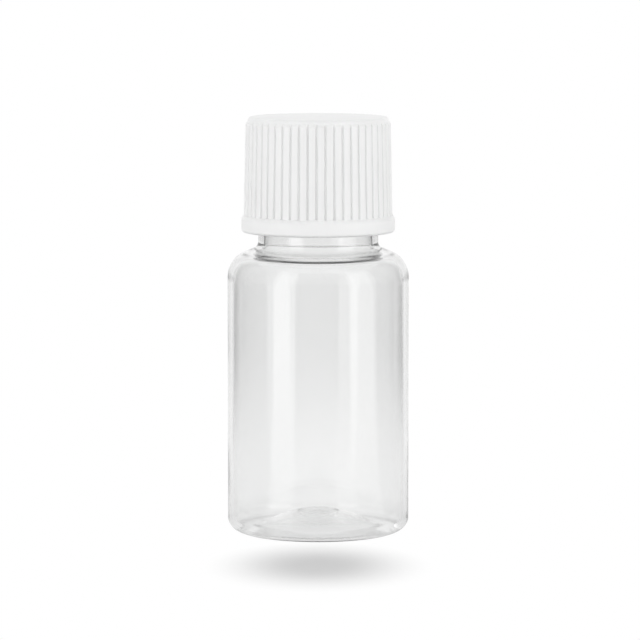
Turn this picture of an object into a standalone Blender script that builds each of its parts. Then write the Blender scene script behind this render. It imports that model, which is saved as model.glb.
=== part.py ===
"""Small clear bottle with a ribbed screw cap, at its real size.

Four pieces: the blown bottle with its screw neck, the ribbed cap, the tamper band that stays on the
neck when the cap is opened, and the foam liner that seals the mouth.
Metres, +Z up. The origin is the centre of the foot, and the axis of the bottle is Z.
"""
import math

import bmesh
import bpy
from mathutils import Matrix

# Bottle body
body_radius = 0.0160
body_height = 0.0455
body_wall = 0.0010
heel_radius = 0.0031
heel_height = 0.00245
foot_inner_radius = 0.0104
base_wall = 0.0012
punt_radius = 0.0093
punt_step = 0.0011
punt_height = 0.00275
gate_radius = 0.0035
gate_recess = 0.0002

# Shoulder and neck
shoulder_radius = 0.00546
shoulder_height = 0.00489
shoulder_slope = math.radians(17.4)
neck_radius = 0.0106
neck_wall = 0.0014
neck_fillet = 0.00177
neck_showing = 0.0013
rim_chamfer = 0.0002

# Screw finish on the neck
thread_lead = 0.003175
thread_turns = 1.5
thread_height = 0.0011
thread_root_width = 0.0020
thread_crest_width = 0.0009
thread_drop = 0.0012
thread_runout = 0.12
bead_reach = 0.00135
bead_height = 0.0010

# Cap
cap_height = 0.01735
cap_top_thickness = 0.0015
cap_wall = 0.00043
cap_corner = 0.0005
rib_count = 52
rib_height = 0.00033
rib_drop = 0.0007
rib_chamfer = 0.0005
rib_flare = 0.00036
groove_width = 0.0005
cap_mouth_chamfer = 0.0002
cap_thread_turns = 1.25
cap_turned = math.radians(-1.34)

# Tamper band
band_height = 0.0026
band_step = 0.00043
band_chamfer = 0.00045
band_corner = 0.0004
band_grip = 0.00045

# Liner
liner_thickness = 0.0011
liner_overhang = 0.0007
liner_seat_cone = 0.0007

# Clearances
seat_gap = 0.0003
slit_gap = 0.0003
thread_gap = 0.0003
thread_slack = 0.000675
thread_crest_gap = 0.0005
bead_gap = 0.0003

# How finely round shapes are divided
bottle_segments = 48
corner_steps = 6
fillet_steps = 4
heel_steps = 4
dome_steps = 4
thread_steps_per_turn = 48
thread_sink = 0.0002

# Colour, roughness, metallic value and transmission of each piece
looks = {
    "clear_pet": ((0.93, 0.95, 0.95), 0.05, 0.0, 1.0),
    "white_pp": ((0.84, 0.85, 0.85), 0.42, 0.0, 0.0),
    "white_foam": ((0.86, 0.86, 0.84), 0.90, 0.0, 0.0),
}


def arc(centre_r, centre_z, semi_r, semi_z, start, end, steps):
    """Points along an elliptical arc, as (radius, height), from angle start to angle end."""
    angles = [start + (end - start) * i / steps for i in range(steps + 1)]
    return [(centre_r + semi_r * math.cos(a), centre_z + semi_z * math.sin(a)) for a in angles]


def corner_end_angle(semi_r, semi_z):
    """Angle at which an elliptical corner has turned from upright to the shoulder's slope."""
    return math.atan2(semi_z, semi_r * math.tan(shoulder_slope))


def shoulder(tube_radius, fillet, shell_radius, semi_r, semi_z, fillet_z):
    """Neck, fillet, sloping cone and rounded corner, top to bottom, ending at the straight wall."""
    fillet_r = tube_radius + fillet
    points = arc(fillet_r, fillet_z, fillet, fillet, math.pi, 1.5 * math.pi - shoulder_slope,
                 fillet_steps)
    cone_r, cone_z = points[-1]
    turn = corner_end_angle(semi_r, semi_z)
    corner_r = shell_radius - semi_r
    meet_r = corner_r + semi_r * math.cos(turn)
    meet_z = cone_z - (meet_r - cone_r) * math.tan(shoulder_slope)
    corner_z = meet_z - semi_z * math.sin(turn)
    return points + arc(corner_r, corner_z, semi_r, semi_z, turn, 0.0, corner_steps)


def neck_foot_height():
    """Height at which the straight neck ends, so that the straight body wall ends at body_height."""
    trial = shoulder(neck_radius, neck_fillet, body_radius, shoulder_radius, shoulder_height, 0.0)
    return body_height - trial[-1][1]


def dome(height, edge_height, radius):
    """Height of the pushed-up base at a radius: a parabola from its centre to punt_radius."""
    return height - (height - edge_height) * (radius / punt_radius) ** 2


# Heights that follow from the sizes above
neck_foot_z = neck_foot_height()
band_bottom_z = neck_foot_z + neck_showing
band_top_z = band_bottom_z + band_height
cap_mouth_z = band_top_z + slit_gap
cap_top_z = cap_mouth_z + cap_height
cap_ceiling_z = cap_top_z - cap_top_thickness
liner_top_z = cap_ceiling_z - seat_gap
liner_bottom_z = liner_top_z - liner_thickness
rim_z = liner_bottom_z - seat_gap

# Radii that follow from the sizes above
bore_radius = neck_radius - neck_wall
thread_radius = neck_radius + thread_height
bead_radius = neck_radius + bead_reach
liner_radius = neck_radius + liner_overhang
liner_seat_radius = liner_radius + seat_gap
cap_bore_radius = thread_radius + thread_gap
cap_disc_radius = cap_bore_radius + cap_wall
cap_crest_radius = neck_radius + thread_crest_gap
band_bore_radius = bead_radius + bead_gap
lip_radius = bead_radius - band_grip

# Thread section: both threads share one flank slope, and the cap's fills the space that is left
flank_slope = (thread_root_width - thread_crest_width) / 2 / thread_height
neck_width_at_cap_crest = thread_root_width - 2 * flank_slope * thread_crest_gap
cap_crest_width = thread_lead - neck_width_at_cap_crest - thread_gap - thread_slack
cap_root_width = cap_crest_width + 2 * flank_slope * (cap_bore_radius - cap_crest_radius)
thread_top_z = rim_z - thread_drop - thread_root_width / 2
thread_bottom_z = thread_top_z - thread_lead * thread_turns
cap_thread_offset = neck_width_at_cap_crest / 2 + thread_gap + cap_crest_width / 2
cap_thread_bottom_z = thread_bottom_z + thread_lead * (thread_turns - cap_thread_turns) - cap_thread_offset
cap_thread_start = 2 * math.pi * (thread_turns - cap_thread_turns)


def clear_scene():
    """Remove every object that the file opened with."""
    for obj in list(bpy.data.objects):
        bpy.data.objects.remove(obj)


def make_collection(name):
    """Add a collection to the scene and return it."""
    collection = bpy.data.collections.new(name)
    bpy.context.scene.collection.children.link(collection)
    return collection


def make_material(name):
    """A Principled material with the piece's colour, roughness, metallic value and transmission."""
    colour, roughness, metallic, transmission = looks[name]
    material = bpy.data.materials.new(name)
    material.use_nodes = True
    shader = material.node_tree.nodes["Principled BSDF"]
    shader.inputs["Base Color"].default_value = (*colour, 1.0)
    shader.inputs["Roughness"].default_value = roughness
    shader.inputs["Metallic"].default_value = metallic
    shader.inputs["Transmission Weight"].default_value = transmission
    return material


def new_object(name, mesh, collection):
    """Wrap a mesh in an object and put it in a collection."""
    obj = bpy.data.objects.new(name, mesh)
    collection.objects.link(obj)
    return obj


def turned(name, profile, origin_z, segments, collection, closed=False):
    """A turned piece: a (radius, height) profile, listed down its outer side, and a Screw modifier."""
    mesh = bpy.data.meshes.new(name)
    count = len(profile)
    verts = [(r, 0.0, z - origin_z) for r, z in profile]
    edges = [(i, i + 1) for i in range(count - 1)]
    if closed:
        edges.append((count - 1, 0))
    mesh.from_pydata(verts, edges, [])
    obj = new_object(name, mesh, collection)
    obj.location.z = origin_z
    screw = obj.modifiers.new("turn", 'SCREW')
    screw.axis = 'Z'
    screw.angle = 2 * math.pi
    screw.steps = segments
    screw.render_steps = segments
    screw.use_merge_vertices = True
    screw.merge_threshold = 0.00001
    screw.use_smooth_shade = True
    return obj


def add_boolean(obj, other, operation):
    """Join another mesh to a piece, or cut it away."""
    boolean = obj.modifiers.new(other.name, 'BOOLEAN')
    boolean.operation = operation
    boolean.solver = 'EXACT'
    boolean.object = other


def hide_guide(obj, piece):
    """Keep a cutter or an added form as a wire guide that follows its piece."""
    obj.hide_render = True
    obj.display_type = 'WIRE'
    obj.parent = piece


def thread_ridge(name, collection, wall, crest, root_width, crest_width, start, bottom_z, turns):
    """A right-hand helical ridge, rooted just inside its wall, that fades into the wall at both ends.

    wall is the radius of the surface that it stands on and crest the radius of its top, so a crest
    larger than the wall makes an outside thread and a smaller one an inside thread.
    """
    outward = 1.0 if crest > wall else -1.0
    root = wall - outward * 2 * thread_sink
    faded = wall - outward * thread_sink
    slope = (root_width - crest_width) / 2 / abs(crest - wall)
    foot_width = root_width + 2 * slope * abs(wall - root)
    steps = round(turns * thread_steps_per_turn)
    ridge = bmesh.new()
    rings = []
    for i in range(steps + 1):
        turn = turns * i / steps
        angle = start + 2 * math.pi * turn
        rise = min(1.0, turn / thread_runout, (turns - turn) / thread_runout)
        top = faded + (crest - faded) * rise
        top_width = foot_width - 2 * slope * abs(top - root)
        z = bottom_z + thread_lead * turn
        section = [(root, -foot_width), (top, -top_width), (top, top_width), (root, foot_width)]
        rings.append([
            ridge.verts.new((r * math.cos(angle), r * math.sin(angle), z + width / 2))
            for r, width in section
        ])
    for lower, upper in zip(rings, rings[1:]):
        for k in range(4):
            following = (k + 1) % 4
            ridge.faces.new((lower[k], lower[following], upper[following], upper[k]))
    ridge.faces.new(rings[0])
    ridge.faces.new(rings[-1])
    bmesh.ops.recalc_face_normals(ridge, faces=ridge.faces)
    mesh = bpy.data.meshes.new(name)
    ridge.to_mesh(mesh)
    ridge.free()
    return new_object(name, mesh, collection)


def bottle_profile():
    """Inside from the centre of the floor up to the mouth, then outside down to the foot."""
    inner_radius = body_radius - body_wall
    floor_edge = punt_step + base_wall
    floor_top = punt_height + base_wall
    floor_radii = [punt_radius * i / dome_steps for i in range(dome_steps + 1)]
    inside = [(r, dome(floor_top, floor_edge, r)) for r in floor_radii]
    inside.append((foot_inner_radius, base_wall))
    inside += arc(inner_radius - heel_radius, base_wall + heel_height, heel_radius, heel_height,
                  -0.5 * math.pi, 0.0, heel_steps)
    inner_shoulder = shoulder(bore_radius, neck_fillet + neck_wall, inner_radius,
                              shoulder_radius - body_wall, shoulder_height - body_wall, neck_foot_z)
    inside += reversed(inner_shoulder)
    inside.append((bore_radius, rim_z))

    outside = [(neck_radius - rim_chamfer, rim_z), (neck_radius, rim_z - rim_chamfer)]
    outside += [
        (neck_radius, band_top_z),
        (bead_radius, band_top_z - bead_height * 0.5),
        (bead_radius, band_top_z - bead_height * 0.8),
        (neck_radius, band_top_z - bead_height),
    ]
    outside += shoulder(neck_radius, neck_fillet, body_radius, shoulder_radius, shoulder_height,
                        neck_foot_z)
    outside += arc(body_radius - heel_radius, heel_height, heel_radius, heel_height,
                   0.0, -0.5 * math.pi, heel_steps)
    outside.append((foot_inner_radius, 0.0))
    punt_radii = [gate_radius + (punt_radius - gate_radius) * i / dome_steps for i in range(dome_steps + 1)]
    outside += [(r, dome(punt_height, punt_step, r)) for r in reversed(punt_radii)]
    gate_z = dome(punt_height, punt_step, gate_radius) + gate_recess
    outside += [(gate_radius - gate_recess, gate_z), (0.0, gate_z)]
    return inside + outside


def make_bottle(parts, guides):
    """The blown body and its neck, with the screw thread joined on."""
    bottle = turned("bottle", bottle_profile(), 0.0, bottle_segments, parts)
    thread = thread_ridge("neck_thread", guides, neck_radius, thread_radius, thread_root_width,
                          thread_crest_width, 0.0, thread_bottom_z, thread_turns)
    hide_guide(thread, bottle)
    add_boolean(bottle, thread, 'UNION')
    return bottle


def cap_profile():
    """Down the outside from the centre of the top, then up the inside to the centre of the ceiling."""
    outside = [(0.0, cap_top_z)]
    outside += arc(cap_disc_radius - cap_corner, cap_top_z - cap_corner, cap_corner, cap_corner,
                   0.5 * math.pi, 0.0, 2)
    rib_top_z = cap_top_z - rib_drop
    rib_radius = cap_disc_radius + rib_height
    outside += [
        (cap_disc_radius, rib_top_z),
        (rib_radius, rib_top_z - rib_chamfer),
        (rib_radius + rib_flare, cap_mouth_z),
    ]
    inside = [
        (cap_bore_radius + cap_mouth_chamfer, cap_mouth_z),
        (cap_bore_radius, cap_mouth_z + cap_mouth_chamfer),
        (cap_bore_radius, rim_z - liner_seat_cone),
        (liner_seat_radius, rim_z),
        (liner_seat_radius, cap_ceiling_z),
        (0.0, cap_ceiling_z),
    ]
    return outside + inside


def groove_cutters(collection):
    """One slim box for each groove between the ribs, leaning with the flare of the skirt."""
    floor_clear = 0.00002
    lean = math.atan2(rib_flare, cap_height - rib_drop - rib_chamfer)
    depth = 4 * rib_height
    length = 1.2 * cap_height
    grooves = bmesh.new()
    rib_top = cap_height - rib_drop
    floor_radius = cap_disc_radius + floor_clear
    for i in range(rib_count):
        around = Matrix.Rotation(2 * math.pi * i / rib_count, 4, 'Z')
        hinge = Matrix.Translation((floor_radius, 0.0, rib_top))
        tilt = Matrix.Rotation(-lean, 4, 'Y')
        centre = Matrix.Translation((depth / 2, 0.0, rib_drop - length / 2))
        size = Matrix.Diagonal((depth, groove_width, length, 1.0))
        bmesh.ops.create_cube(grooves, size=1.0, matrix=around @ hinge @ tilt @ centre @ size)
    mesh = bpy.data.meshes.new("rib_grooves")
    grooves.to_mesh(mesh)
    grooves.free()
    return new_object("rib_grooves", mesh, collection)


def make_cap(parts, guides):
    """The ribbed shell, with its grooves cut and its inside thread joined on."""
    cap = turned("cap", cap_profile(), cap_mouth_z, rib_count, parts)
    cap.rotation_euler.z = cap_turned
    grooves = groove_cutters(guides)
    hide_guide(grooves, cap)
    add_boolean(cap, grooves, 'DIFFERENCE')
    thread = thread_ridge("cap_thread", guides, cap_bore_radius, cap_crest_radius, cap_root_width,
                          cap_crest_width, cap_thread_start, cap_thread_bottom_z - cap_mouth_z,
                          cap_thread_turns)
    hide_guide(thread, cap)
    add_boolean(cap, thread, 'UNION')
    return cap


def make_band(parts):
    """The plain ring below the cap, whose inner lip hooks under the neck's bead."""
    outer_radius = cap_disc_radius + rib_height + rib_flare + band_step
    lip_top_z = band_top_z - bead_height - bead_gap
    profile = [(outer_radius - band_step, band_top_z), (outer_radius, band_top_z - band_chamfer)]
    profile += arc(outer_radius - band_corner, band_bottom_z + band_corner, band_corner, band_corner,
                   0.0, -0.5 * math.pi, 2)
    profile += [
        (band_bore_radius, band_bottom_z),
        (lip_radius, band_bottom_z + band_grip),
        (lip_radius, lip_top_z),
        (band_bore_radius, lip_top_z + bead_gap),
        (band_bore_radius, band_top_z),
    ]
    return turned("tamper_band", profile, band_bottom_z, rib_count, parts, closed=True)


def make_liner(parts):
    """The round foam wad between the cap's ceiling and the bottle's rim."""
    profile = [(0.0, liner_top_z), (liner_radius, liner_top_z), (liner_radius, liner_bottom_z),
               (0.0, liner_bottom_z)]
    return turned("liner", profile, liner_bottom_z, bottle_segments, parts)


def build():
    """Make the four pieces and give each its material."""
    clear_scene()
    parts = make_collection("screw_cap_bottle")
    guides = make_collection("cutters")
    bottle = make_bottle(parts, guides)
    cap = make_cap(parts, guides)
    band = make_band(parts)
    liner = make_liner(parts)
    bottle.data.materials.append(make_material("clear_pet"))
    white = make_material("white_pp")
    cap.data.materials.append(white)
    band.data.materials.append(white)
    liner.data.materials.append(make_material("white_foam"))


build()
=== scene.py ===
# %% [markdown]
# # A small clear bottle with a ribbed screw cap
#
# The real object is four mouldings: a blown PET bottle, an injection-moulded polypropylene cap, the
# tamper band that breaks off the cap on first opening, and a foam liner inside the cap.
# All four are round, so this lesson makes each of them in the same way: a profile is turned round the
# Z axis on a grid of points, and a relief in the radius adds what isn't round, such as ribs and threads.
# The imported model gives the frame: every new piece keeps to its sizes and rides on one of its bodies.

# %% Load the frame
import math

import bpy
import numpy as np
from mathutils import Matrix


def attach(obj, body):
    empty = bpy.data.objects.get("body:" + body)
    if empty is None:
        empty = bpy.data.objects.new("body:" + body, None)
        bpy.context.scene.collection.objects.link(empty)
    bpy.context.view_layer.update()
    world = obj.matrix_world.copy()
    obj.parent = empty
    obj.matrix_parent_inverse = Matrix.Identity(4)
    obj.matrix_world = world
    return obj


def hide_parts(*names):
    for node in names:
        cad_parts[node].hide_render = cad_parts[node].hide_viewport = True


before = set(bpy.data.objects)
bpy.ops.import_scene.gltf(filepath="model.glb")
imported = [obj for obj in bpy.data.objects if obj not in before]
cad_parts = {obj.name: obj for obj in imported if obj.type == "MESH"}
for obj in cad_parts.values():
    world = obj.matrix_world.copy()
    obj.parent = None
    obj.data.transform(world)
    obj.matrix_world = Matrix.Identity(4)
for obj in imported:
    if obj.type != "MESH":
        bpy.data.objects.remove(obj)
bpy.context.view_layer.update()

# %% [markdown]
# ## The camera
#
# The photograph was taken from far away with a long lens, a little above the cap, and it looks
# slightly down. The ellipses of the cap and of the foot give that height: they open by about six
# degrees, and the foot opens more than the cap does.

# %% Place the camera
MM = 0.001
camera_distance = 700 * MM
camera_height = 112.07 * MM
aim_height = 37.57 * MM
camera_side = 0.32 * MM
focal_length = 224.08

camera_data = bpy.data.cameras.new("camera")
camera_data.lens = focal_length
camera_data.sensor_width = 36.0
camera_data.clip_start = 0.01
camera_data.clip_end = 50.0
camera = bpy.data.objects.new("camera", camera_data)
camera.location = (camera_side, -camera_distance, camera_height)
camera.rotation_euler = (math.pi / 2 - math.atan2(camera_height - aim_height, camera_distance), 0, 0)
bpy.context.scene.collection.objects.link(camera)
bpy.context.scene.camera = camera
bpy.context.scene.view_settings.view_transform = "Standard"
print("camera looks down by", round(90 - math.degrees(camera.rotation_euler.x), 2), "degrees")

# %% [markdown]
# ## Profiles
#
# A moulded edge is never sharp. Rather than fillet each corner by hand, a profile is written as plain
# corners, each with a softness, and every point along it is then replaced by the average of its
# neighbourhood under a bell curve. A straight stretch stays straight, and a corner becomes a smooth
# bend about three softnesses long. The ends on the axis are mirrored first, so that they stay level.

# %% Helpers for profiles
def arc(centre, semi, start, end, count, softness):
    """Rows of radius, height and softness on an ellipse: the centre plus the half axes times the cosine
    and the sine of an angle that runs evenly from start to end, in degrees."""
    angle = np.radians(np.linspace(start, end, count))
    radius = centre[0] + semi[0] * np.cos(angle)
    height = centre[1] + semi[1] * np.sin(angle)
    return np.stack([radius, height, np.full(count, softness)], axis=1)


def softened(corners, closed=False, step=0.02):
    """The profile as closely spaced points with its corners rounded: each point is the average of the
    plain profile, weighted by exp(-k * k / 2), at its own place plus k softnesses along the profile."""
    corners = np.vstack(corners)
    if closed:
        corners = np.vstack([corners, corners[:1]])
    length = np.append(0, np.cumsum(np.hypot(*np.diff(corners[:, :2], axis=0).T)))
    keep = np.append(True, np.diff(length) > 1e-9)
    corners, length = corners[keep], length[keep]
    total = length[-1]
    if closed:
        before, after = corners[:-1], corners[1:]
        reach = np.concatenate([length[:-1] - total, length, length[1:] + total])
    else:
        other_side = np.array([-1, 1, 1])
        before, after = corners[:0:-1] * other_side, corners[-2::-1] * other_side
        reach = np.concatenate([-length[:0:-1], length, 2 * total - length[-2::-1]])
    wide = np.vstack([before, corners, after])
    along = np.linspace(0, total, int(total / step))
    spread = np.linspace(-3, 3, 25)
    weight = np.exp(-spread ** 2 / 2)
    weight /= weight.sum()
    place = along[:, None] + np.interp(along, reach, wide[:, 2])[:, None] * spread
    return np.stack([np.interp(place, reach, wide[:, k]) @ weight for k in (0, 1)], axis=1)


def shared_rows(points, spacing, bend):
    """Rows picked from a fine profile: each stretch counts its length over spacing plus its turn over
    bend, in degrees, and the rows share the total count evenly. Spacing may differ from point to point."""
    move = np.diff(points, axis=0)
    heading = np.unwrap(np.arctan2(move[:, 1], move[:, 0]))
    turn = np.abs(np.append(0, np.diff(heading)))
    spacing = np.broadcast_to(spacing, len(points))[1:]
    count = np.append(0, np.cumsum(np.hypot(*move.T) / spacing + np.degrees(turn) / bend))
    wanted = np.linspace(0, count[-1], int(count[-1]) + 1)
    return np.stack([np.interp(wanted, count, points[:, k]) for k in (0, 1)], axis=1)


# %% [markdown]
# ## Turning a profile
#
# Point (row, column) of the grid has the row's radius plus the relief at that angle and height.
# Profiles run so that the solid lies on their left, which makes every face point outwards:
# up an outer side, over the top, and down the inner side.
# An open profile starts and ends on the axis, where one point closes the grid as a fan.

# %% Turn a profile into a piece
def turned(name, rows, angles, relief=None, closed=False):
    """A piece whose point (row, column) is at x = (r + relief) cos a, y = (r + relief) sin a, z = z."""
    if not closed:
        pole_heights = rows[0, 1], rows[-1, 1]
        rows = rows[1:-1]
    radius, height = rows[:, :1], rows[:, 1:]
    if relief is not None:
        radius = radius + relief(angles[None, :], height, radius)
    radius = np.broadcast_to(radius, (len(rows), len(angles)))
    height = np.broadcast_to(height, radius.shape)
    points = np.stack([radius * np.cos(angles), radius * np.sin(angles), height], axis=2).reshape(-1, 3)
    columns = len(angles)
    index = np.arange(len(points)).reshape(len(rows), columns)
    low = index if closed else index[:-1]
    high = np.roll(index, -1, axis=0) if closed else index[1:]
    faces = np.stack([low, np.roll(low, -1, 1), np.roll(high, -1, 1), high], axis=2).reshape(-1, 4).tolist()
    if not closed:
        first, last = len(points), len(points) + 1
        points = np.vstack([points, [0, 0, pole_heights[0]], [0, 0, pole_heights[1]]])
        around = np.roll(index[0], -1), index[0], np.full(columns, first)
        faces += np.stack(around, axis=1).tolist()
        around = index[-1], np.roll(index[-1], -1), np.full(columns, last)
        faces += np.stack(around, axis=1).tolist()
    mesh = bpy.data.meshes.new(name)
    mesh.from_pydata((points * MM).tolist(), [], faces)
    mesh.polygons.foreach_set("use_smooth", np.ones(len(faces), dtype=bool))
    mesh.update()
    piece = bpy.data.objects.new(name, mesh)
    bpy.context.scene.collection.objects.link(piece)
    print(f"{name}: {len(rows)} rows by {columns} columns, {sum(len(f) - 2 for f in faces)} triangles")
    return piece


def even_angles(count):
    """Angles of evenly spaced columns, in radians."""
    return np.linspace(0, 2 * np.pi, count, endpoint=False)


def smooth(x):
    """0 below 0, 1 above 1, and the S-curve x * x * (3 - 2 x) between."""
    x = np.clip(x, 0, 1)
    return x * x * (3 - 2 * x)


# %% [markdown]
# ## The screw thread
#
# A thread is a ridge that climbs one lead for each turn. Seen along one upright line of the neck it is
# a row of bumps, one lead apart. So the relief asks, for each point, how far it is above or below the
# nearest pass of the helix, and gives the ridge's height there. The ridge fades in and out at its ends.

# %% Thread relief
thread_lead = 3.175


def thread_relief(angle, height, start, bottom, turns, rise, root, crest):
    """Height of a helical ridge: the helix passes a point's angle at bottom + lead * turn, and the ridge
    there is full within half the crest width, falls to nothing at half the root width, and grows over
    the first and last eighth of a turn."""
    total = np.zeros(np.broadcast(angle, height).shape)
    for extra in range(math.ceil(turns) + 1):
        turn = (angle - start) / (2 * np.pi) % 1 + extra
        away = np.abs(height - bottom - thread_lead * turn)
        ridge = smooth((root / 2 - away) / ((root - crest) / 2))
        ends = smooth(turn * 8) * smooth((turns - turn) * 8)
        total = np.maximum(total, ridge * ends)
    return total * rise


# %% [markdown]
# ## The bottle
#
# The bottle is blown from a moulded preform. The neck keeps the preform's exact shape, and the body is
# stretched against the mould: a straight wall, a rounded heel, a standing ring and a pushed-up base.
# It is one closed surface, outside and inside, because light has to pass through a wall of real
# thickness for the edges to darken as they do in the photograph. A blown wall is never quite even, and
# here that matters: faces that run exactly side by side would keep light caught between them and turn
# the shoulder and the heel black. So the inside has curves of its own.

# %% Bottle sizes, in millimetres
body_radius = 16.0
body_wall = 1.02
neck_radius = 10.6
neck_wall = 1.4
band_top = 55.8621
rim_top = 70.3121
print("the body is", 2 * body_radius, "mm across, and the neck", 2 * neck_radius, "mm")

# %% [markdown]
# The base is pushed up in the middle, so that the bottle stands on a ring and doesn't rock. A parabola
# is close to the mould's shallow dome, and it takes only a centre height and an edge. The round mark of
# the gate, with the faint rings of a turned insert, stands on the underside only.

# %% Base of the bottle
base_softness = 0.35
punt_radius = 8.99
punt_edge = 0.647
punt_centre = 2.82
inner_punt_radius = 7.854
inner_punt_edge = 2.295
inner_punt_centre = 4.007
gate_radius = 3.5
gate_edge = 0.4
gate_step = 0.048
gate_softness = 0.04
gate_margin = 0.5
ring_height = 0.006
ring_spacing = 0.8


def base_rows(edge_radius, edge, centre):
    """One face of the base from its centre out to its edge, a parabola: the height is the centre's less
    the whole drop times the square of radius over edge radius."""
    radius = np.linspace(0, edge_radius, 300)
    height = centre - (centre - edge) * (radius / edge_radius) ** 2
    return np.stack([radius, height, np.full(len(radius), base_softness)], axis=1)


def gate_disc(radius):
    """Height of the gate's disc over the base: a low step with a soft edge, and faint moulded rings, which
    are a cosine of the radius."""
    inside_disc = 1 - smooth((radius - gate_radius + gate_edge) / gate_edge)
    return inside_disc * (gate_step + ring_height * np.cos(2 * np.pi * radius / ring_spacing))


def underside_rows():
    """The outer face of the base with the gate's disc, which keeps crisper corners than the rest."""
    rows = base_rows(punt_radius, punt_edge, punt_centre)
    near_gate = rows[:, 0] < gate_radius + gate_margin
    rows[:, 1] += gate_disc(rows[:, 0])
    rows[:, 2] = np.where(near_gate, gate_softness, base_softness)
    return rows


# %% [markdown]
# The shoulder leads from the wide body to the narrow neck. It is drawn as a mould maker would cut it:
# an elliptical corner, a cone with a gentle slope, and a fillet at the foot of the neck. The corner's
# end and the fillet's start both have the cone's slope, so there is no kink between them.

# %% Shoulder of the bottle
body_top = 45.324
shoulder_corner = (4.8, 4.816)
shoulder_slope = 17.792
neck_fillet = 1.316
shoulder_softness = 0.1
shoulder_wall = 1.111
neck_foot_wall = 1.16
inner_top = 44.314
inner_corner = (3.044, 4.326)
inner_slope = 20.283
bore_fillet = 1.931
inner_softness = 0.146


def shoulder_profile(shell_radius, corner, corner_height, slope_angle, tube_radius, fillet, softness):
    """From the straight wall up to the neck: an elliptical corner that turns to the shoulder's slope,
    a straight cone, and a fillet that turns upright at the foot of the neck."""
    slope = math.tan(math.radians(slope_angle))
    turned_by = math.degrees(math.atan2(corner[1], corner[0] * slope))
    corner_arc = arc((shell_radius - corner[0], corner_height), corner, 0, turned_by, 24, softness)
    fillet_arc = arc((tube_radius + fillet, 0), (fillet, fillet), 270 - slope_angle, 180, 20, softness)
    gap = corner_arc[-1, :2] - fillet_arc[0, :2]
    fillet_arc[:, 1] += gap[1] + gap[0] * slope
    return np.vstack([corner_arc, fillet_arc])


# %% [markdown]
# The whole profile goes from the gate out and up to the rim, and back down the inside. The heel is a
# quarter of an ellipse on each face, and the standing ring is a very soft corner beside it. On the
# inside the wall and the bore each have one wide, soft bend, where the thickness changes.

# %% Profile of the bottle
heel = (3.1, 2.45)
heel_softness = 0.1
heel_wall = 1.192
inner_heel = (1.545, 2.0)
inner_heel_softness = 0.05
foot_radius = 10.62
foot_softness = 0.703
inner_foot_radius = 11.06
inner_foot_softness = 0.705
floor_height = 0.87
wall_bend_height = 15.2
wall_bend_softness = 1.5
bore_bend_height = 54.0
bore_bend_softness = 1.0
bead_reach = 1.35
thread_middle = 65.7
thread_reach = 3.5


def outside_rows():
    """The outside from the gate up to the rim."""
    bead_radius = neck_radius + bead_reach
    return [
        underside_rows(),
        [(foot_radius, 0, foot_softness)],
        arc((body_radius - heel[0], heel[1]), heel, -90, 0, 20, heel_softness),
        shoulder_profile(body_radius, shoulder_corner, body_top, shoulder_slope, neck_radius, neck_fillet,
                         shoulder_softness),
        [(neck_radius, band_top - 1.1, 0.08), (bead_radius, band_top - 0.8, 0.06),
         (bead_radius, band_top - 0.5, 0.06), (neck_radius, band_top + 0.1, 0.08),
         (neck_radius, rim_top, 0.12)],
    ]


def inside_rows():
    """The inside from the rim down to the middle of the base."""
    bore = neck_radius - neck_wall
    inner_heel_centre = (body_radius - heel_wall - inner_heel[0], floor_height + inner_heel[1])
    shoulder = shoulder_profile(body_radius - shoulder_wall, inner_corner, inner_top, inner_slope,
                                neck_radius - neck_foot_wall, bore_fillet, inner_softness)
    return [
        [(bore, rim_top, 0.12), (bore, bore_bend_height, bore_bend_softness)],
        shoulder[::-1],
        [(body_radius - body_wall, wall_bend_height, wall_bend_softness)],
        arc(inner_heel_centre, inner_heel, 0, -90, 20, inner_heel_softness),
        [(inner_foot_radius, floor_height, inner_foot_softness)],
        base_rows(inner_punt_radius, inner_punt_edge, inner_punt_centre)[::-1],
    ]


def bottle_rows():
    """The whole profile: close rows at the thread, wide ones on the straight wall, middling elsewhere."""
    fine = softened(outside_rows() + inside_rows())
    radius, height = fine.T
    on_thread = (radius > neck_radius - 0.2) & (np.abs(height - thread_middle) < thread_reach)
    on_wall = (height > heel[1] + 1.5) & (height < body_top - 6)
    return shared_rows(fine, np.where(on_thread, 0.16, np.where(on_wall, 1.5, 0.6)), 6)


# %% Make the bottle
neck_thread_bottom = 63.3496


def neck_thread(angle, height, radius):
    """The thread stands on the outside of the neck only, above the bead."""
    on_neck = (radius > neck_radius - 0.1) & (height > band_top + 0.5)
    ridge = thread_relief(angle, height, start=0.0, bottom=neck_thread_bottom, turns=1.5, rise=1.1,
                          root=2.0, crest=0.9)
    return np.where(on_neck, ridge, 0)


bottle = turned("clear_bottle", bottle_rows(), even_angles(192), neck_thread)
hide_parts("bottle")
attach(bottle, "bottle")

# %% [markdown]
# ## The cap
#
# The cap's grip is 52 flat upright ribs with narrow round-bottomed grooves between them. The grooves
# start just under the top edge, where the ribs chamfer in, and end bluntly at the tamper band. The
# skirt widens slightly downwards, which lets the moulding slide off its core.
# The profile is the cap without its grooves and its thread, which the relief then adds.

# %% Cap sizes, in millimetres
cap_top = 73.5121
cap_mouth = 56.16
cap_ceiling = 72.0121
cap_bore = 12.0
cap_disc_radius = 12.43
cap_corner = 0.65
rib_radius = 12.76
rib_flare = 0.36
rib_top = cap_top - 0.7
rib_chamfer = 0.5
liner_seat_radius = 11.6
gate_mark_radius = 0.7
gate_mark_depth = 0.06
cap_thread_zone = (61.8, 67.6)


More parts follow.
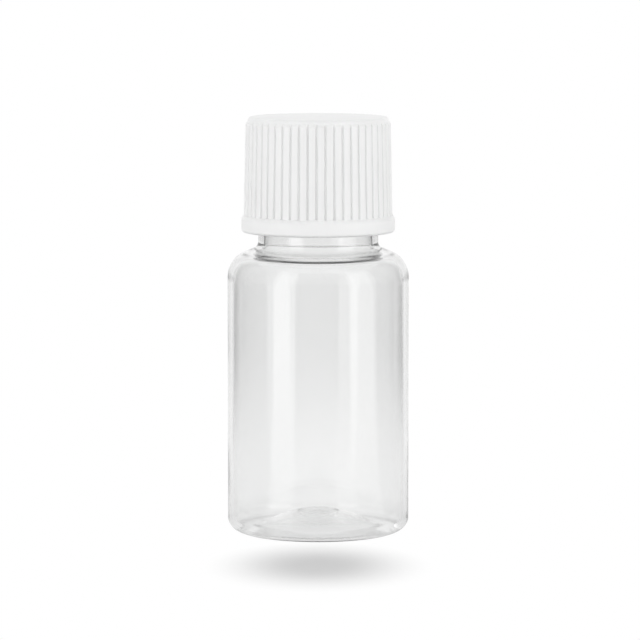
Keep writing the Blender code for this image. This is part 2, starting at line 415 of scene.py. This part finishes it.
def cap_rows():
    """From the centre of the ceiling out and down the bore, over the mouth, and up the outside."""
    corners = [
        [(0, cap_ceiling, 0.1), (liner_seat_radius, cap_ceiling, 0.12),
         (liner_seat_radius, rim_top, 0.1), (cap_bore, rim_top - 0.7, 0.1),
         (cap_bore, cap_mouth + 0.2, 0.05), (cap_bore + 0.2, cap_mouth, 0.05),
         (rib_radius + rib_flare - 0.02, cap_mouth, 0.012), (rib_radius, rib_top - rib_chamfer, 0.08),
         (cap_disc_radius, rib_top, 0.08)],
        arc((cap_disc_radius - cap_corner, cap_top - cap_corner), (cap_corner, cap_corner), 0, 90, 12, 0.03),
        [(gate_mark_radius + 0.1, cap_top, 0.08), (gate_mark_radius, cap_top - gate_mark_depth, 0.05),
         (0, cap_top - gate_mark_depth, 0.05)],
    ]
    fine = softened(corners)
    inside = np.arange(len(fine)) < np.argmin(fine[:, 1])
    threaded = inside & (fine[:, 1] < cap_thread_zone[1]) & (fine[:, 1] > cap_thread_zone[0])
    return shared_rows(fine, np.where(threaded, 0.19, 1.2), 9)


# %% [markdown]
# Most columns of the grid sit at the grooves, because the ribs between them are nearly flat. Each
# groove takes its depth away from the radius, and the thread stands in from the bore in the same way.

# %% Ribs and thread of the cap
rib_count = 52
rib_pitch = 2 * np.pi / rib_count
cap_turned = math.radians(-1.34)
groove_depth = 0.37
groove_flat = 0.06
groove_side = 0.17
groove_foot = 0.1
cap_thread_bottom = 62.7434


def groove_columns():
    """Twelve columns for each rib: eleven across its groove and one in the middle of the rib."""
    across = np.array([-0.25, -0.15, -0.12, -0.09, -0.05, 0, 0.05, 0.09, 0.12, 0.15, 0.25, 0.5])
    angles = (np.arange(rib_count)[:, None] + across[None, :]) * rib_pitch
    return angles.ravel() + cap_turned - np.pi / 2


def cap_relief(angle, height, radius):
    """Grooves cut into the outside and the thread that stands in from the bore. A groove is full at its
    middle and fades with an S-curve to nothing a little past half its width."""
    around = ((angle - cap_turned + np.pi / 2) / rib_pitch + 0.5) % 1 - 0.5
    away = np.abs(around) * rib_pitch * rib_radius
    groove = 1 - smooth((away - groove_flat) / groove_side)
    proud = np.clip((radius - cap_disc_radius) / groove_depth, 0, 1 + rib_flare / groove_depth)
    foot = smooth((height - cap_mouth - 0.02) / groove_foot)
    depth = np.minimum(groove * proud * groove_depth * foot, groove_depth)
    outside = (radius > cap_disc_radius) & (height < rib_top + 0.2)
    screw = thread_relief(angle - cap_turned, height, start=np.pi / 2, bottom=cap_thread_bottom, turns=1.25,
                          rise=0.9, root=1.6, crest=0.7)
    bore = (radius < cap_bore + 0.05) & (height < rim_top - 1.0) & (height > cap_mouth + 0.5)
    return np.where(outside, -depth, 0) - np.where(bore, screw, 0)


# %% Make the cap
cap = turned("ribbed_cap", cap_rows(), groove_columns(), cap_relief)
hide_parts("cap")
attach(cap, "cap")

# %% [markdown]
# ## The tamper band
#
# The band is a plain ring, wider than the ribs, so its top edge shows as a thin bright ledge. Behind
# the ledge is a shallow seat where the cap's foot stands, and so no dark slit shows under the ribs.
# An inner lip hooks under the bead of the neck and holds the band there when the cap comes off.

# %% Make the tamper band
band_bottom = 53.2621
band_ledge_top = 56.2
band_ledge_width = 0.41
band_seat = 56.13
band_radius = 13.55
band_bore = 12.25
band_lip = 11.5
band_corners = [[
    (band_bore, band_bottom, 0.06), (band_radius - 0.35, band_bottom, 0.1),
    (band_radius, band_bottom + 0.35, 0.12), (band_radius, band_ledge_top - 0.55, 0.06),
    (band_radius - band_ledge_width, band_ledge_top, 0.006),
    (band_radius - band_ledge_width - 0.02, band_seat, 0.006), (band_bore, band_seat, 0.03),
    (band_bore, 54.86, 0.05), (band_lip, 54.56, 0.05), (band_lip, band_bottom + 0.45, 0.05),
]]
band = turned("tamper_ring", shared_rows(softened(band_corners, closed=True), 0.5, 8), even_angles(208),
              closed=True)
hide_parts("tamper_band")
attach(band, "tamper_band")

# %% [markdown]
# ## The liner
#
# The liner is a disc punched from foam sheet. The bottle's rim has pressed a shallow ring into its
# lower face, which is what seals the bottle.

# %% Make the liner
liner_radius = 11.3
liner_low = 70.6121
liner_high = 71.7121
rim_print = 0.12
liner_corners = [[
    (0, liner_low, 0.1), (9.1, liner_low, 0.12), (9.5, liner_low + rim_print, 0.12),
    (10.3, liner_low + rim_print, 0.12), (10.7, liner_low, 0.12), (liner_radius, liner_low, 0.1),
    (liner_radius, liner_high, 0.1), (0, liner_high, 0.1),
]]
liner = turned("foam_liner", shared_rows(softened(liner_corners), 0.6, 10), even_angles(128))
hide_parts("liner")
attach(liner, "liner")

# %% [markdown]
# ## Materials
#
# Each material starts from a Principled shader. Small helpers add the nodes that vary it.

# %% Material helpers
def new_material(name):
    """A material with a Principled shader; returns the material, its node tree and the shader."""
    material = bpy.data.materials.new(name)
    material.use_nodes = True
    tree = material.node_tree
    print("material", name)
    return material, tree, tree.nodes["Principled BSDF"]


def noise(tree, scale, detail):
    """Noise over the piece's own Object coordinates, with scale in waves per metre."""
    place = tree.nodes.new("ShaderNodeTexCoord")
    texture = tree.nodes.new("ShaderNodeTexNoise")
    texture.inputs["Scale"].default_value = scale
    texture.inputs["Detail"].default_value = detail
    tree.links.new(place.outputs["Object"], texture.inputs["Vector"])
    return texture.outputs["Fac"]


def ramped(tree, factor, dark, light, from_value=0.3, to_value=0.7):
    """A colour between dark and light, as the factor goes from from_value to to_value."""
    ramp = tree.nodes.new("ShaderNodeValToRGB")
    ramp.color_ramp.elements[0].position = from_value
    ramp.color_ramp.elements[0].color = (*dark, 1)
    ramp.color_ramp.elements[1].position = to_value
    ramp.color_ramp.elements[1].color = (*light, 1)
    tree.links.new(factor, ramp.inputs["Fac"])
    return ramp.outputs["Color"]


def bumped(tree, height, distance, strength, normal=None):
    """A bump from a height, in metres at strength 1."""
    bump = tree.nodes.new("ShaderNodeBump")
    bump.inputs["Distance"].default_value = distance
    bump.inputs["Strength"].default_value = strength
    tree.links.new(height, bump.inputs["Height"])
    if normal is not None:
        tree.links.new(normal, bump.inputs["Normal"])
    return bump.outputs["Normal"]


# %% [markdown]
# Clear PET bends light more than window glass does, so its edges darken strongly. The colour is the
# share of light that one wall lets through. Blown walls are never quite even: a slow, very shallow
# ripple makes the reflections swim a little, and a faint haze varies their strength.

# %% Clear PET
clear_pet, tree, shader = new_material("clear_pet_blown")
shader.inputs["Transmission Weight"].default_value = 1.0
shader.inputs["IOR"].default_value = 1.575
shader.inputs["Roughness"].default_value = 0.02
shader.inputs["Metallic"].default_value = 0.0
tint = ramped(tree, noise(tree, 60, 2), (0.928, 0.930, 0.929), (0.938, 0.940, 0.939))
tree.links.new(tint, shader.inputs["Base Color"])
ripple = bumped(tree, noise(tree, 90, 1), 0.0005, 0.05)
tree.links.new(ripple, shader.inputs["Normal"])
bottle.data.materials.append(clear_pet)

# %% [markdown]
# White polypropylene comes off a finely blasted mould: satin, with a grain that is felt more than
# seen, and a very slight cloudiness where the melt cooled at different speeds.

# %% White polypropylene
white_pp, tree, shader = new_material("white_polypropylene")
shader.inputs["Roughness"].default_value = 0.45
shader.inputs["Specular IOR Level"].default_value = 0.45
cloud = ramped(tree, noise(tree, 140, 3), (0.822, 0.824, 0.823), (0.848, 0.850, 0.849))
tree.links.new(cloud, shader.inputs["Base Color"])
grain = bumped(tree, noise(tree, 9000, 2), 0.00002, 0.1)
tree.links.new(grain, shader.inputs["Normal"])
for piece in (cap, band):
    piece.data.materials.append(white_pp)

# %% [markdown]
# The liner's foam is matt, with closed cells about a quarter of a millimetre across.

# %% White foam
white_foam, tree, shader = new_material("white_foam_cells")
shader.inputs["Roughness"].default_value = 0.9
shader.inputs["Subsurface Weight"].default_value = 0.6
shader.inputs["Subsurface Radius"].default_value = (1.0, 1.0, 1.0)
shader.inputs["Subsurface Scale"].default_value = 0.001
shader.inputs["Specular IOR Level"].default_value = 0.2
place = tree.nodes.new("ShaderNodeTexCoord")
cells = tree.nodes.new("ShaderNodeTexVoronoi")
cells.inputs["Scale"].default_value = 4000
tree.links.new(place.outputs["Object"], cells.inputs["Vector"])
foam_colour = ramped(tree, cells.outputs["Distance"], (0.86, 0.86, 0.84), (0.80, 0.80, 0.78), 0.1, 0.8)
tree.links.new(foam_colour, shader.inputs["Base Color"])
pits = bumped(tree, cells.outputs["Distance"], 0.00008, 0.5)
tree.links.new(pits, shader.inputs["Normal"])
liner.data.materials.append(white_foam)

# %% [markdown]
# ## The studio
#
# A clear bottle shows nothing but its surroundings, so the studio is half of its look. In the
# photograph the bottle stands in front of a white background, the room beside and behind the
# photographer is dim, and one soft box stands on each side in front. Each box shows twice in every
# strip of light on the bottle: mirrored by the front wall, and once more by the back wall.
# The room is a pattern of brightness by compass direction, in the world and on the far floor alike.
# Only mirrored rays see its boxes and its dim sides. Rays that have merely passed through the bottle
# see an open white room, so that the bottle is as clear from the side and from behind as in front.

# %% Brightness by compass direction
far_room = [(-180, 1.02), (-167, 1.0), (-160, 0.86), (-141, 0.96), (-136, 0.22), (-59, 0.13), (-57.5, 1.26),
            (-30, 1.26), (-28.5, 0.25), (40, 0.25), (41.5, 1.3), (76.5, 1.3), (78, 0.18), (136, 0.24),
            (141, 0.96), (160, 0.86), (167, 1.0), (180, 1.02)]
# Painted light on the floor near the bottle, seen by clear rays only: its glow is brighter toward the soft
# boxes and dimmer at the sides.
painted_floor_light = [(-180, 1.01), (-145, 0.95), (-110, 0.82), (-62, 0.86), (-57, 1.26), (-30, 1.22), (-25, 1.06),
             (35, 1.06), (41, 1.26), (76, 1.22), (82, 0.82), (110, 0.78), (145, 0.95), (180, 1.01)]
open_room = [(-180, 1.02), (-167, 1.0), (-160, 0.86), (-141, 0.95), (-120, 0.93), (0, 0.97), (120, 0.93),
             (141, 0.95), (160, 0.86), (167, 1.0), (180, 1.02)]
upper_room = [(-180, 1.0), (-140, 0.8), (-110, 0.45), (-60, 0.6), (60, 0.6), (110, 0.45), (140, 0.8),
              (180, 1.0)]
ramp_top = 1.4
print("the soft boxes are", max(value for _, value in far_room), "times as bright as the background")


def math_node(tree, operation, *values):
    """A Math node whose inputs are sockets or numbers."""
    node = tree.nodes.new("ShaderNodeMath")
    node.operation = operation
    for socket, value in zip(node.inputs, values):
        if isinstance(value, (int, float)):
            socket.default_value = value
        else:
            tree.links.new(value, socket)
    return node.outputs["Value"]


def mixed(tree, factor, first, second):
    """first where the factor is 0, second where it is 1."""
    rest = math_node(tree, "SUBTRACT", 1.0, factor)
    return math_node(tree, "ADD", math_node(tree, "MULTIPLY", rest, first),
                     math_node(tree, "MULTIPLY", factor, second))


def by_compass(tree, axes, stops):
    """Brightness that depends on the compass direction: 0 degrees faces the camera and 90 is +X. A ramp
    holds no more than 1, so its values are divided by ramp_top and multiplied again after it."""
    angle = math_node(tree, "ARCTAN2", axes.outputs["X"], math_node(tree, "MULTIPLY", axes.outputs["Y"], -1.0))
    turn = math_node(tree, "MULTIPLY_ADD", angle, 1 / (2 * math.pi), 0.5)
    ramp = tree.nodes.new("ShaderNodeValToRGB")
    elements = ramp.color_ramp.elements
    for degrees, _ in stops[1:-1]:
        elements.new(degrees / 360 + 0.5)
    for element, (_, value) in zip(elements, stops):
        element.color = (*[value / ramp_top] * 3, 1)
    tree.links.new(turn, ramp.inputs["Fac"])
    return math_node(tree, "MULTIPLY", ramp.outputs["Color"], ramp_top)


def fade(tree, value, start, end):
    """0 up to start and 1 from end on, with an S-curve between."""
    node = tree.nodes.new("ShaderNodeMapRange")
    node.interpolation_type = "SMOOTHSTEP"
    node.inputs["From Min"].default_value = start
    node.inputs["From Max"].default_value = end
    tree.links.new(value, node.inputs["Value"])
    return node.outputs["Result"]


def length_of(tree, first, second):
    """The length of a flat vector: the square root of first squared plus second squared."""
    squares = math_node(tree, "POWER", first, 2.0), math_node(tree, "POWER", second, 2.0)
    return math_node(tree, "SQRT", math_node(tree, "ADD", *squares))


# %% [markdown]
# The kind of ray decides what it sees. A count of mirrorings tells a mirrored ray from one that has
# only passed through the bottle, and together the two kinds are the clear rays.

# %% What clear rays see
def clear_ray(tree, path):
    """1 for mirrored rays and for rays through the bottle, 0 for the rest."""
    return math_node(tree, "MAXIMUM", path.outputs["Is Glossy Ray"], path.outputs["Is Transmission Ray"])


def level_room(tree, path, axes):
    """The room at eye level: the boxes for mirrored rays, and the open room for rays straight through."""
    mirrored = math_node(tree, "GREATER_THAN", path.outputs["Glossy Depth"], 0.5)
    return mixed(tree, mirrored, by_compass(tree, axes, open_room), by_compass(tree, axes, far_room))


# %% [markdown]
# The world is white where the camera looks past the object, plain soft light for everything that
# scatters light, and the room's pattern for clear rays. Above the boxes the room has its own pattern.

# %% World
world = bpy.data.worlds.new("studio")
bpy.context.scene.world = world
world.use_nodes = True
tree = world.node_tree
tree.nodes.clear()
horizon_light = 2.2
zenith_light = 0.47
zenith_from = 0.85
box_top = math.sin(math.radians(42))
direction = tree.nodes.new("ShaderNodeTexCoord")
axes = tree.nodes.new("ShaderNodeSeparateXYZ")
tree.links.new(direction.outputs["Generated"], axes.inputs["Vector"])
path = tree.nodes.new("ShaderNodeLightPath")
above_boxes = fade(tree, axes.outputs["Z"], box_top - 0.01, box_top + 0.01)
room = mixed(tree, above_boxes, level_room(tree, path, axes), by_compass(tree, axes, upper_room))
overhead = fade(tree, axes.outputs["Z"], 0.0, zenith_from)
soft_light = mixed(tree, overhead, horizon_light, zenith_light)
strength = mixed(tree, clear_ray(tree, path), soft_light, room)
strength = mixed(tree, path.outputs["Is Camera Ray"], strength, 1.0)
background = tree.nodes.new("ShaderNodeBackground")
background.inputs["Color"].default_value = (1, 1, 1, 1)
tree.links.new(strength, background.inputs["Strength"])
output = tree.nodes.new("ShaderNodeOutputWorld")
tree.links.new(background.outputs["Background"], output.inputs["Surface"])
print("world:", len(tree.nodes), "nodes")

# %% [markdown]
# The floor is pale and matt. Where the cap's shadow falls it is really lit, so it holds the shadow, and
# around that it fades to the plain white of the background: the shadow's darkness is real light, and its soft
# elliptical edge is painted.
# Rays through the bottle also see what the photograph shows through its base: painted shade, which makes the
# floor's glow a little darker under the bottle, and darker still in a ring where the foot and the floor meet.
# Each pair of numbers is where an S-curve starts and where it ends.

# %% Floor sizes, in metres
floor_size = 8.0
floor_drop = 0.00002
under_foot = (0.014, 0.018)
# Painted shade: the floor's glow under the bottle and in the ring round the foot.
painted_shade_under_bottle = 0.865
contact_inner = (0.0128, 0.0136)
contact_outer = (0.0150, 0.0162)
contact_shade = 0.72
near_floor = (0.06, 0.34)
shadow_centre = -0.0383
shadow_half = (0.0125, 0.0168)
shadow_fade = (0.2, 1.6)
floor_colour = 0.8

# %% Floor
floor_mesh = bpy.data.meshes.new("floor")
half = floor_size / 2
floor_mesh.from_pydata([(-half, -half, -floor_drop), (half, -half, -floor_drop), (half, half, -floor_drop),
                        (-half, half, -floor_drop)], [], [(0, 1, 2, 3)])
floor = bpy.data.objects.new("floor", floor_mesh)
bpy.context.scene.collection.objects.link(floor)

floor_white = bpy.data.materials.new("floor_white")
floor_white.use_nodes = True
tree = floor_white.node_tree
tree.nodes.clear()
place = tree.nodes.new("ShaderNodeTexCoord")
axes = tree.nodes.new("ShaderNodeSeparateXYZ")
tree.links.new(place.outputs["Object"], axes.inputs["Vector"])
path = tree.nodes.new("ShaderNodeLightPath")
from_bottle = length_of(tree, axes.outputs["X"], axes.outputs["Y"])
across = math_node(tree, "DIVIDE", axes.outputs["X"], shadow_half[0])
along = math_node(tree, "DIVIDE", math_node(tree, "SUBTRACT", axes.outputs["Y"], shadow_centre), shadow_half[1])
# The shadow's soft elliptical edge is painted here, where the white glow takes over from the lit floor.
open_floor = fade(tree, length_of(tree, across, along), *shadow_fade)

# %% [markdown]
# Outside the shadow the floor glows at the level that each kind of ray should see, so it is as white as
# the background whatever the lamp does. Inside the shadow the glow gives way to a matt pale surface.

# %% Light of the floor
is_camera = path.outputs["Is Camera Ray"]
# Near the bottle the floor's glow is painted light, brighter toward the soft boxes and dimmer at the sides.
room = mixed(tree, fade(tree, from_bottle, *near_floor), by_compass(tree, axes, painted_floor_light),
             level_room(tree, path, axes))
# Painted shade: the glow is lower under the bottle, and lower still in a ring round the foot.
room = mixed(tree, fade(tree, from_bottle, *under_foot), painted_shade_under_bottle, room)
in_contact = math_node(tree, "SUBTRACT", fade(tree, from_bottle, *contact_inner),
                       fade(tree, from_bottle, *contact_outer))
room = mixed(tree, in_contact, room, contact_shade)
white = math_node(tree, "MULTIPLY", math_node(tree, "MAXIMUM", is_camera, clear_ray(tree, path)), open_floor)
glow = math_node(tree, "MULTIPLY", white, mixed(tree, is_camera, room, 1.0))
emission = tree.nodes.new("ShaderNodeEmission")
tree.links.new(glow, emission.inputs["Strength"])
colour = math_node(tree, "MULTIPLY", math_node(tree, "SUBTRACT", 1.0, white), floor_colour)
diffuse = tree.nodes.new("ShaderNodeBsdfDiffuse")
tree.links.new(colour, diffuse.inputs["Color"])
both = tree.nodes.new("ShaderNodeAddShader")
tree.links.new(diffuse.outputs["BSDF"], both.inputs[0])
tree.links.new(emission.outputs["Emission"], both.inputs[1])
output = tree.nodes.new("ShaderNodeOutputMaterial")
tree.links.new(both.outputs["Shader"], output.inputs["Surface"])
floor_mesh.materials.append(floor_white)
print("floor:", len(tree.nodes), "nodes")

# %% [markdown]
# One soft lamp hangs high behind the bottle. It throws the cap's shadow forward onto the floor, which
# is the grey ellipse below the bottle in the photograph. Clear rays don't see the lamp itself, because
# it would show in the bottle as a small white disc.

# %% Key lamp
lamp_distance = 0.65
lamp_rise = math.radians(57)
lamp_data = bpy.data.lights.new("key_lamp", "AREA")
lamp_data.shape = "DISK"
lamp_data.size = 0.24
lamp_data.energy = 0.7
lamp = bpy.data.objects.new("key_lamp", lamp_data)
lamp.location = (0, lamp_distance * math.cos(lamp_rise), lamp_distance * math.sin(lamp_rise))
lamp.rotation_euler = (lamp_rise - math.pi / 2, 0, 0)
lamp.visible_glossy = False
lamp.visible_transmission = False
bpy.context.scene.collection.objects.link(lamp)
print("key lamp at", [round(v, 3) for v in lamp.location], "m")
